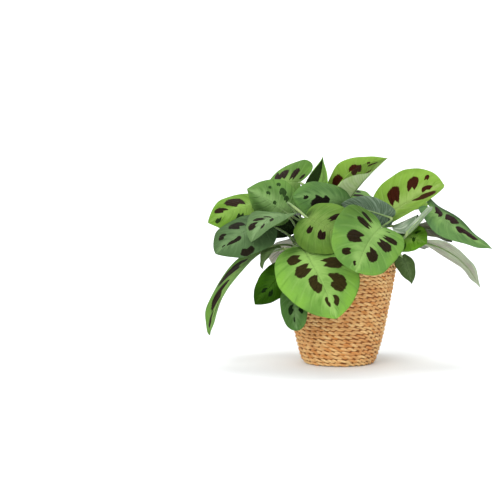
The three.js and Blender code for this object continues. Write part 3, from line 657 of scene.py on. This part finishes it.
def leaf_upper(name, key, entry, blotch):
    material, nodes = new_material(f"{name} upper")
    marks = (SPOTS.get(key, PLAIN_SPOTS), PAINTED_SHADOWS.get(key), SHADED.get(key))
    colour, veins, midrib = upper_colour(nodes, entry["look"], blotch, *marks)
    fine = nodes.noise(nodes.place(), 420.0, 3.0, 0.6)
    height = nodes.scaled(veins, -0.8, nodes.times(fine, 0.2))
    height = nodes.scaled(midrib, -1.2, height)
    return dress(material, nodes, colour, nodes.scaled(fine, 0.2, 0.42), height, 0.0005, gloss=0.03)


def leaf_lower(name, key, entry, blotch):
    """The underside: close parallel veins, light streaks that are partly painted sheen, a tinge, painted shade
    at the base, and the left half's rolled-over part.
    """
    material, nodes = new_material(f"{name} lower")
    u, v, reach, arched = leaf_coordinates(nodes)
    *tones, (along, over) = UNDERSIDES[entry["under"]]
    under, tinge, vein, streak = (seen(rgb) for rgb in tones)
    broad = nodes.noise(nodes.place(), 45.0, 2.0)
    fine = nodes.noise(nodes.place(), 500.0, 3.0, 0.6)
    colour = nodes.mix(nodes.step(broad, 0.35, 0.65), under, tinge)
    veins = vein_lines(nodes, arched, reach, LATERAL_VEINS * 3, 0.8)
    colour = nodes.tint(colour, vein, veins, 0.55)
    # Light and dark streaks: partly the underside's own fine lines, partly painted sheen on the lighter ones.
    streaks = nodes.streaks(arched, along, v, over)
    colour = nodes.tint(colour, streak, nodes.step(streaks, 0.48, 0.66), 0.8)
    colour = nodes.tint(colour, vein, nodes.step(streaks, 0.42, 0.28), 0.6)
    light = nodes.mix(0.5, under, seen(UNDER_MIDRIB))
    colour = nodes.tint(colour, light, nodes.step(reach, 0.06, 0.015), 0.7)
    # Painted shade at the base, where the leaves above shade it.
    colour = nodes.tint(colour, vein, nodes.step(u, 0.35, 0.02), 0.6)
    if entry["rolled"]:
        upper, _, _ = upper_colour(nodes, entry["look"], blotch, SPOTS[key])
        line = nodes.scaled(nodes.math("SUBTRACT", u, entry["rolled"]), ROLL_SLOPE, reach)
        colour = nodes.tint(colour, upper, nodes.step(line, 0.97, 1.03), nodes.step(v, 0.01, -0.01))
    height = nodes.scaled(veins, 0.7, nodes.times(fine, 0.2))
    roughness = nodes.scaled(fine, 0.15, 0.48)
    return dress(material, nodes, colour, roughness, height, 0.0003, gloss=0.12, sheen=0.05)


def stalk_material():
    """Green with fine ridges along it, paler at the swelling under each blade."""
    material, nodes = new_material("stalk green")
    u, v, _ = nodes.uv()
    ridges = nodes.streaks(u, 0.12, v, 18.0)
    fine = nodes.noise(nodes.place(), 900.0, 2.0)
    colour = nodes.mix(ridges, *(seen(rgb) for rgb in STALK_COLOURS))
    colour = nodes.tint(colour, seen(PULVINUS_COLOUR), nodes.stored("swollen"), 0.8)
    height = nodes.scaled(fine, 0.3, ridges)
    return dress(material, nodes, colour, nodes.scaled(fine, 0.2, 0.4), height, 0.0002, sheen=0.2)


def seagrass_material():
    """Dry twisted grass: long fibres along each strand, honey to brown from strand to strand, with painted
    shade in the clefts between strands and between rows.
    """
    material, nodes = new_material("seagrass")
    u, v, _ = nodes.uv()
    spot = nodes.place()
    fibre = nodes.combine(nodes.times(u, 0.05), nodes.times(v, 9.0), nodes.noise(spot, 40.0))
    fibres = nodes.noise(fibre, 3.0, 3.0, 0.65)
    patch = nodes.noise(spot, 26.0, 2.0)
    colour = nodes.mix(nodes.stored("tone"), *(seen(rgb, 1.0) for rgb in STRAW_COLOURS))
    colour = nodes.tint(colour, seen(FIBRE_COLOUR, 1.0), nodes.step(fibres, 0.62, 0.36), 0.6)
    colour = nodes.tint(colour, seen(PATCH_COLOUR, 1.0), nodes.step(patch, 0.5, 0.72), 0.3)
    # Painted shade: dark deep between the strands, lighter between the rows.
    colour = nodes.mix(nodes.step(nodes.stored("proud"), 0.5, 0.05), colour, seen(CLEFT_SHADE))
    colour = nodes.tint(colour, seen(CLEFT_SHADE), nodes.step(nodes.stored("level"), 0.7, 1.0), 0.3)
    return dress(material, nodes, colour, nodes.scaled(fibres, 0.3, 0.5), fibres, 0.0006, gloss=0.3)


def core_shade_material():
    """Painted shade: the dark brown deep in the gaps between the strands."""
    material, nodes = new_material("seagrass core shade")
    fine = nodes.noise(nodes.place(), 300.0, 3.0, 0.6)
    colour = nodes.mix(fine, *(seen(rgb, 1.0) for rgb in CORE_SHADE_COLOURS))
    return dress(material, nodes, colour, nodes.scaled(fine, 0.2, 0.75))


def crumb_material(name, colours, scale):
    """Crumbly matter from a dark to a light colour; the larger the scale, the finer its grain."""
    material, nodes = new_material(name)
    spot = nodes.place()
    crumbs = nodes.add("ShaderNodeTexVoronoi", {"Vector": spot, "Scale": scale}).outputs["Distance"]
    fine = nodes.noise(spot, scale * 2.5, 4.0, 0.65)
    colour = nodes.mix(fine, *(seen(rgb, 1.0) for rgb in colours))
    height = nodes.math("SUBTRACT", fine, crumbs)
    return dress(material, nodes, colour, nodes.scaled(fine, 0.15, 0.82), height, 0.0012)


def pot_material():
    """Thin black-brown moulded plastic with fine scuffs."""
    material, nodes = new_material("pot plastic")
    spot = nodes.place()
    drawn = nodes.add("ShaderNodeMapping", {"Vector": spot, "Scale": (60, 60, 700)}).outputs[0]
    scuffs = nodes.noise(drawn, 1.0, 3.0)
    grain = nodes.noise(spot, 1400.0, 2.0)
    colour = nodes.mix(nodes.step(scuffs, 0.5, 0.8), *(seen(rgb, 1.0) for rgb in PLASTIC_COLOURS))
    return dress(material, nodes, colour, nodes.scaled(scuffs, 0.25, 0.4), grain, 0.00008)


# ---- Leaves ----

def cubic(a, b, c, d, t):
    s = 1 - t
    return s * s * s * a + 3 * s * s * t * b + 3 * s * t * t * c + t * t * t * d


def outline(entry, u):
    """Distance along and distance out of the blade's edge, from the notch (u = 0) to the tip (u = 1)."""
    belly = entry["belly"]
    blunt = entry["blunt"]
    if u < 0.5:
        t = 2 * u
        return cubic(0, -HEEL, belly - LOBE_PULL, belly, t), cubic(0, 0.3, 1, 1, t)
    t = 2 * u - 1
    shoulder = belly + (1 - belly) * (SHOULDER + 0.1 * blunt)
    return cubic(belly, shoulder, TAPER + 0.07 * blunt, 1, t), cubic(1, 1, TIP_WIDTH + 0.3 * blunt, 0, t)


def blade_frame(entry):
    base = vec(entry["base"])
    tip = vec(entry["tip"])
    along = unit(tip - base)
    across = vec(entry["across"])
    across = unit(across - along * np.dot(across, along))
    face = np.cross(along, across)
    middle = (base + tip) / 2 + face * 2 * entry["bow"] + across * 2 * entry["sway"]
    return {"base": base, "middle": middle, "tip": tip, "along": along, "across": across, "face": face}


def midrib_at(frame, s):
    base, middle, tip = frame["base"], frame["middle"], frame["tip"]
    point = base * (1 - s) ** 2 + middle * 2 * s * (1 - s) + tip * s ** 2
    tangent = unit((middle - base) * (1 - s) + (tip - middle) * s)
    across = unit(frame["across"] - tangent * np.dot(frame["across"], tangent))
    return point, across, np.cross(tangent, across)


def blade_point(entry, frame, u, v):
    """The middle of the blade's thickness at (u, v): each half is folded up, curled, waved and pleated."""
    reach = abs(v)
    half = 0 if v < 0 else 1
    edge_along, edge_out = outline(entry, u)
    root = u * u
    s = root + (edge_along - root) * reach ** VEIN_SWEEP
    half_width = entry["width"] / 2 * (1 + entry["lean"] if half == 0 else 1 - entry["lean"])
    around = u + entry["base"][1] / RAGGED_START + RAGGED_SHIFT * half
    ragged = math.sin(RAGGED_TURNS[0] * around) + math.sin(RAGGED_TURNS[1] * around + 1)
    out = edge_out * reach * half_width * (1 + RAGGED_HEIGHT * ragged)
    fold = math.radians(entry["fold"][half])
    bend = math.radians(entry["curl"][half]) / half_width or NO_BEND
    sideways = (math.sin(fold + bend * out) - math.sin(fold)) / bend
    up = (math.cos(fold) - math.cos(fold + bend * out)) / bend
    turn = EDGE_WAVES * u + entry["base"][0] / WAVE_START + WAVE_SHIFT * half
    wave = entry["wave"] * math.sin(2 * math.pi * turn) * reach * reach * math.sin(math.pi * u)
    arched = u - VEIN_ARCH * reach * reach
    ripple = math.cos(2 * math.pi * LATERAL_VEINS * arched) * math.sin(math.pi * min(1.0, reach * 1.05))
    pleat = entry["pleat"] * ripple * math.sin(math.pi * u)
    groove = -GROOVE_DEPTH * math.exp(-(out / GROOVE_WIDTH) ** 2)
    point, across, face = midrib_at(frame, s)
    return point + across * math.copysign(1, v) * sideways + face * (up + wave + pleat + groove)


def blade_mesh(entry, frame):
    """Upper and lower skins and a narrow rim. Returns points, faces, UVs and each face's skin (0 or 1)."""
    rows = [i / BLADE_ROWS for i in range(1, BLADE_ROWS)]
    columns = [2 * j / BLADE_COLUMNS - 1 for j in range(BLADE_COLUMNS + 1)]
    across = len(columns)
    spots = [(0.0, 0.0)] + [(u, v) for u in rows for v in columns] + [(1.0, 0.0)]
    middle = np.array([blade_point(entry, frame, u, v) for u, v in spots])
    grid = middle[1:-1].reshape(len(rows), across, 3)
    normals = np.cross(np.gradient(grid, axis=0), np.gradient(grid, axis=1))
    normals /= np.linalg.norm(normals, axis=-1, keepdims=True) + 1e-12
    flat = np.concatenate([normals[:1, across // 2], normals.reshape(-1, 3), normals[-1:, across // 2]])
    count = len(spots)
    points = np.concatenate([middle + flat * BLADE_THICKNESS / 2, middle - flat * BLADE_THICKNESS / 2])
    uvs = np.array([(u, (v + 1) / 2) for u, v in spots] * 2)
    upper = []
    last = len(rows) - 1

    def at(row, column):
        return 1 + row * across + column

    for column in range(across - 1):
        upper.append((0, at(0, column), at(0, column + 1)))
        upper.append((count - 1, at(last, column + 1), at(last, column)))
        for row in range(last):
            upper.append((at(row, column), at(row + 1, column), at(row + 1, column + 1), at(row, column + 1)))
    rim = [0] + [at(row, 0) for row in range(last + 1)] + [count - 1]
    rim += [at(row, across - 1) for row in range(last, -1, -1)]
    faces = list(upper)
    faces += [tuple(count + k for k in reversed(face)) for face in upper]
    faces += [(a, count + a, count + b, b) for a, b in zip(rim, rim[1:] + rim[:1])]
    skins = [0] * len(upper) + [1] * len(upper) + [0] * len(rim)
    return points, faces, uvs, skins


def stem_point(stem, up):
    foot = vec((*stem["foot"], 0))
    return foot + (vec(stem["top"]) - foot) * up + vec((0, 0, SOIL_TOP))


def stalk_tube(stem, entry, frame):
    """Sheath, petiole, pulvinus and rib as one tube, with a value that marks the swelling."""
    start = stem_point(stem, entry["start"])
    end = frame["base"] - frame["face"] * PULVINUS_DROP
    span = np.linalg.norm(end - start)
    out = unit((end - start) * (1, 1, 0))
    if entry["over"]:
        leave, arrive = (vec(p) for p in entry["over"])
    else:
        leave = start + out * span * STALK_OUT + vec((0, 0, span * STALK_UP))
        arrive = end - frame["along"] * span * STALK_BACK - frame["face"] * span * STALK_BACK
    points = []
    radii = []
    swollen = []
    pulvinus = min(0.25, PULVINUS_LENGTH / span)
    for i in range(STALK_STEPS + 1):
        t = i / STALK_STEPS
        points.append(cubic(start, leave, arrive, end, t))
        sheath = max(0.0, 1 - t / SHEATH_SHARE)
        swell = max(0.0, 1 - abs((t - 1 + pulvinus / 2) / (pulvinus / 2 + 0.02))) ** 0.5
        radii.append(PETIOLE_RADIUS + (SHEATH_RADIUS - PETIOLE_RADIUS) * sheath
                     + (PULVINUS_RADIUS - PETIOLE_RADIUS) * swell)
        swollen.append(swell)
    for s, radius in RIB:
        point, _, face = midrib_at(frame, s)
        points.append(point - face * (RIB_DROP + RIB_SINK * radius))
        radii.append(radius)
        swollen.append(0)
    return tube(points, radii, swollen)


def stem_tube(stem):
    """The stem from its root in the soil to its top, with a slight swelling at each joint."""
    base = vec((*stem["foot"], SOIL_TOP - STEM_SUNK))
    knee = vec((*stem["foot"], SOIL_TOP + STEM_UPRIGHT))
    points = [base, (base + knee) / 2, knee]
    radii = [STEM_RADIUS, STEM_RADIUS, STEM_RADIUS]
    for i in range(1, STEM_STEPS + 1):
        up = i / STEM_STEPS
        bulge = JOINT_BULGE * max(0.0, math.cos(2 * math.pi * up * STEM_JOINTS)) ** JOINT_SHARPNESS
        points.append(stem_point(stem, STEM_BEND + (1 - STEM_BEND) * up))
        radii.append(STEM_RADIUS * (1 - STEM_TAPER * up) + bulge)
    return tube(points, radii, [0] * len(points))


def add_piece(piece, materials, slot, *nodes):
    for material in materials:
        piece.data.materials.append(material)
    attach(piece, "root")
    if nodes:
        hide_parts(*nodes)


def build_plant():
    blotch = blotch_group()
    green = stalk_material()
    for number, stem in enumerate(STEMS, 1):
        node = f"leafy_stem_{number:02d}"
        parts = [stem_tube(stem)]
        for k, entry in enumerate(stem["leaves"], 1):
            frame = blade_frame(entry)
            parts.append(stalk_tube(stem, entry, frame))
            points, faces, uvs, skins = blade_mesh(entry, frame)
            name = f"leaf_{number:02d}_{k}"
            key = (number, k)
            piece = mesh_object(name, points, faces, uvs)
            skin = (leaf_upper(name, key, entry, blotch), leaf_lower(name, key, entry, blotch))
            add_piece(piece, skin, "leaf_green", node)
            piece.data.polygons.foreach_set("material_index", skins)
        rings, faces = gathered(parts)
        values = {"swollen": rings[:, 5]}
        stalks = mesh_object(f"stalks_{number:02d}", rings[:, :3], faces, rings[:, 3:5], values)
        add_piece(stalks, [green], "leaf_green", node)


# ---- Basket, pot and soil ----

def smoothly(values, share):
    """The value at a share (0 to 1) of the way round a closed list, eased from one entry to the next."""
    here = share * len(values)
    low = int(here) % len(values)
    part = here % 1
    part = part * part * (3 - 2 * part)
    return values[low] * (1 - part) + values[(low + 1) % len(values)] * part


def rope_ring(radius, height, tilt, wave, chance):
    """One turn of two-ply rope: two strands that wind round each other, as a list of tubes."""
    length = 2 * math.pi * radius
    twists = max(2, round(length / TWIST_PITCH))
    steps = round(length / STRAND_STEP)
    phase = chance.uniform(0, 2 * math.pi)
    drift = [chance.uniform(-TWIST_DRIFT, TWIST_DRIFT) for _ in range(twists)]
    wobble = [chance.uniform(-ROW_WOBBLE, ROW_WOBBLE) for _ in range(3 * twists)]
    out = vec((math.cos(tilt), math.sin(tilt)))
    up = vec((-math.sin(tilt), math.cos(tilt)))
    tubes = []
    for strand in range(2):
        line = []
        girth = [chance.uniform(*STRAND_GIRTH) for _ in range(2 * twists)]
        tone = [chance.random() for _ in range(2 * twists)]
        for i in range(steps):
            share = i / steps
            around = 2 * math.pi * share
            turn = phase + math.pi * strand - 2 * math.pi * twists * share + smoothly(drift, share)
            offset = TWIST_RADIUS * (math.cos(turn) * out + math.sin(turn) * up)
            r = radius + offset[0]
            z = height + offset[1] + smoothly(wobble, share)
            z += wave * math.sin(ROW_WAVES * around + height / ROW_WAVE_CLIMB)
            line.append((r * math.cos(around), r * math.sin(around), z,
                         STRAND_RADIUS * smoothly(girth, share), smoothly(tone, share)))
        tubes.append(ring_tube(np.array(line), radius, height))
    return tubes


def ring_tube(line, radius, height):
    """A tube closed on itself, along a line of (x, y, z, tube radius, tone). Each of its points has eight
    numbers: place, UV, distance from the rope's middle, tone, and distance above or below that middle.
    """
    steps = len(line)
    centres = line[:, :3]
    tangents = np.roll(centres, -1, 0) - np.roll(centres, 1, 0)
    tangents /= np.linalg.norm(tangents, axis=1, keepdims=True)
    across = np.cross(tangents, (0, 0, 1.0))
    across /= np.linalg.norm(across, axis=1, keepdims=True)
    rise = np.cross(across, tangents)
    run = np.concatenate([[0], np.cumsum(np.linalg.norm(np.diff(centres, axis=0), axis=1))])
    rings = np.empty((steps, STRAND_SIDES, 8))
    for k in range(STRAND_SIDES):
        angle = 2 * math.pi * k / STRAND_SIDES
        rings[:, k, :3] = centres + line[:, 3:4] * (math.cos(angle) * across + math.sin(angle) * rise)
        rings[:, k, 3] = run
        rings[:, k, 4] = k / STRAND_SIDES
        rings[:, k, 6] = line[:, 4]
    x, y, z = rings[..., 0], rings[..., 1], rings[..., 2]
    reach = STRAND_RADIUS + TWIST_RADIUS
    rings[..., 5] = np.hypot(np.hypot(x, y) - radius, z - height) / reach
    rings[..., 7] = np.abs(z - height) / reach
    return rings.reshape(-1, 8), ring_faces(steps, STRAND_SIDES)


def build_basket():
    chance = random.Random(ROPE_SEED)
    straw = seagrass_material()
    reach = STRAND_RADIUS + TWIST_RADIUS
    low = reach + ROPE_LIFT
    high = BASKET_HEIGHT - reach
    rows = []
    wall = []
    for row in range(BASKET_ROWS):
        height = min(max((row + 0.5) * BASKET_HEIGHT / BASKET_ROWS, low), high)
        radius = float(np.interp(height, *zip(*BASKET_OUTSIDE))) - reach + ROPE_PROUD
        wave = ROW_WAVE * min(1.0, row / CALM_ROWS, (BASKET_ROWS - 1 - row) / CALM_ROWS)
        rows.append(rope_ring(radius, height, 0.0, wave, chance))
        wall.append((radius, height))
    base = [rope_ring(radius, low, math.pi / 2, 0.0, chance) for radius in BASE_RINGS]
    share = math.ceil(len(rows) / BASKET_PIECES)
    groups = [rows[k:k + share] for k in range(0, len(rows), share)] + [base]
    for number, group in enumerate(groups, 1):
        rings, faces = gathered([strand for ring in group for strand in ring])
        values = {"proud": rings[:, 5], "tone": rings[:, 6], "level": rings[:, 7]}
        piece = mesh_object(f"basket_rope_{number}", rings[:, :3], faces, rings[:, 3:5], values)
        add_piece(piece, [straw], "seagrass", "basket")
    # The core is turned from a profile of (radius, height) that doesn't touch the axis.
    half = CORE_HALF_THICKNESS
    profile = [(1.0, low - half), (BASE_RINGS[0], low - half)]
    profile += [(r + half, z) for r, z in wall]
    profile += [(r - half, z) for r, z in reversed(wall[1:])]
    profile += [(BASE_RINGS[0] - 1, low + half), (1.0, low + half)]
    points = []
    for k in range(CORE_SIDES):
        angle = 2 * math.pi * k / CORE_SIDES
        points += [(r * math.cos(angle), r * math.sin(angle), z) for r, z in profile]
    core = mesh_object("basket_core", points, ring_faces(CORE_SIDES, len(profile)))
    add_piece(core, [core_shade_material()], "seagrass", "basket")


def scattered(name, count, sizes, chance):
    """Uneven lumps strewn over the soil, each sunk partly into it."""
    small, large = sizes
    points = []
    faces = []
    for _ in range(count):
        size = small + (large - small) * chance.random() ** 3
        away = (SOIL_RADIUS - size) * math.sqrt(chance.random())
        around = chance.uniform(0, 2 * math.pi)
        level = SOIL_TOP + np.interp(away, *zip(*SOIL_SURFACE)) + size * chance.uniform(*LUMP_RISE)
        middle = vec((away * math.cos(around), away * math.sin(around), level))
        turn = Matrix.Rotation(chance.uniform(0, 2 * math.pi), 3, "Z")
        turn = turn @ Matrix.Rotation(chance.uniform(0, 3), 3, "X")
        stretch = vec([chance.uniform(*LUMP_STRETCH) for _ in range(3)])
        first = len(points)
        for corner in LUMP_POINTS:
            grown = unit(vec(corner)) * stretch * size * chance.uniform(*LUMP_UNEVEN)
            points.append(tuple(middle + vec(turn @ Vector(grown))))
        faces += [tuple(first + k for k in face) for face in LUMP_FACES]
    return mesh_object(name, points, faces)


def build_pot_and_soil(frame):
    """The CAD pot and soil keep their form and get their materials; crumbs and perlite lie on the soil."""
    mix = crumb_material("potting mix", SOIL_COLOURS, 420.0)
    white = crumb_material("perlite white", PERLITE_COLOURS, 900.0)
    for node, material in (("nursery_pot", pot_material()), ("soil", mix)):
        materials = frame["nodes"][node].data.materials
        materials.clear()
        materials.append(material)
    chance = random.Random(SOIL_SEED)
    for name, count, sizes, material in (("soil_crumbs", SOIL_CRUMBS, CRUMB_SIZES, mix),
                                         ("perlite", PERLITE_CRUMBS, PERLITE_SIZES, white)):
        add_piece(scattered(name, count, sizes, chance), [material], "potting_mix")


# ---- Floor, light and camera ----

def build_stage():
    material = dress(*new_material("pale floor"), FLOOR_COLOUR, 0.9)
    profile = [(FLOOR_FRONT, 0.0), (FLOOR_BEND, 0.0)]
    for a in np.linspace(0.1, math.pi / 2, BEND_STEPS):
        profile.append((FLOOR_BEND + BEND_RADIUS * math.sin(a), BEND_RADIUS - BEND_RADIUS * math.cos(a)))
    profile.append((FLOOR_BEND + BEND_RADIUS, WALL_TOP))
    sides = (-FLOOR_HALF_WIDTH, FLOOR_HALF_WIDTH)
    points = [(x / MM, y / MM, z / MM) for y, z in profile for x in sides]
    faces = [(2 * i, 2 * i + 1, 2 * i + 3, 2 * i + 2) for i in range(len(profile) - 1)]
    floor = mesh_object("floor", points, faces)
    floor.data.materials.append(material)


def aimed(name, data, place_m, aim):
    """A lamp or camera at a place, turned to look at another."""
    thing = bpy.data.objects.new(name, data)
    bpy.context.scene.collection.objects.link(thing)
    thing.location = place_m
    thing.rotation_euler = (Vector(aim) - Vector(place_m)).to_track_quat("-Z", "Y").to_euler()
    return thing


def build_light():
    world = bpy.data.worlds.new("studio")
    bpy.context.scene.world = world
    world.use_nodes = True
    background = world.node_tree.nodes["Background"]
    background.inputs["Color"].default_value = (1.0, 1.0, 1.0, 1)
    background.inputs["Strength"].default_value = WORLD_LIGHT
    for name, place_m, aim, size, power in LAMPS:
        data = bpy.data.lights.new(name, "AREA")
        data.size = size
        data.energy = power
        aimed(name, data, place_m, aim)


def build_camera():
    """Where the photograph was taken from, with the basket's foot at its own pixel of the frame."""
    e = CAMERA_ELEVATION
    middle = FRAME_PIXELS / 2
    left = (middle - BASKET_PIXEL[0]) * PIXEL
    up = (BASKET_PIXEL[1] - middle) * PIXEL
    data = bpy.data.cameras.new("camera")
    data.sensor_width = SENSOR
    data.lens = SENSOR * CAMERA_DISTANCE * FOCAL_TRIM / (FRAME_PIXELS * PIXEL)
    data.clip_end = 50
    place_m = (0, -CAMERA_DISTANCE * math.cos(e), CAMERA_DISTANCE * math.sin(e))
    bpy.context.scene.camera = aimed("camera", data, place_m, (left, up * math.sin(e), up * math.cos(e)))
    bpy.context.scene.view_settings.view_transform = "Standard"


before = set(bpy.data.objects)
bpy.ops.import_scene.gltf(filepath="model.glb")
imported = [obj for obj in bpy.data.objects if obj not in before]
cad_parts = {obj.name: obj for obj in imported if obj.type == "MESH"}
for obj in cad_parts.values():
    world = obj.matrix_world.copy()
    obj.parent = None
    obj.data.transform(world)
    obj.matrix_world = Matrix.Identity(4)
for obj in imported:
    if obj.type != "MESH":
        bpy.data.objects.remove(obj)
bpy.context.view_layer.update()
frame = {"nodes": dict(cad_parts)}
build_camera()
build_light()
build_stage()
build_basket()
build_pot_and_soil(frame)
build_plant()
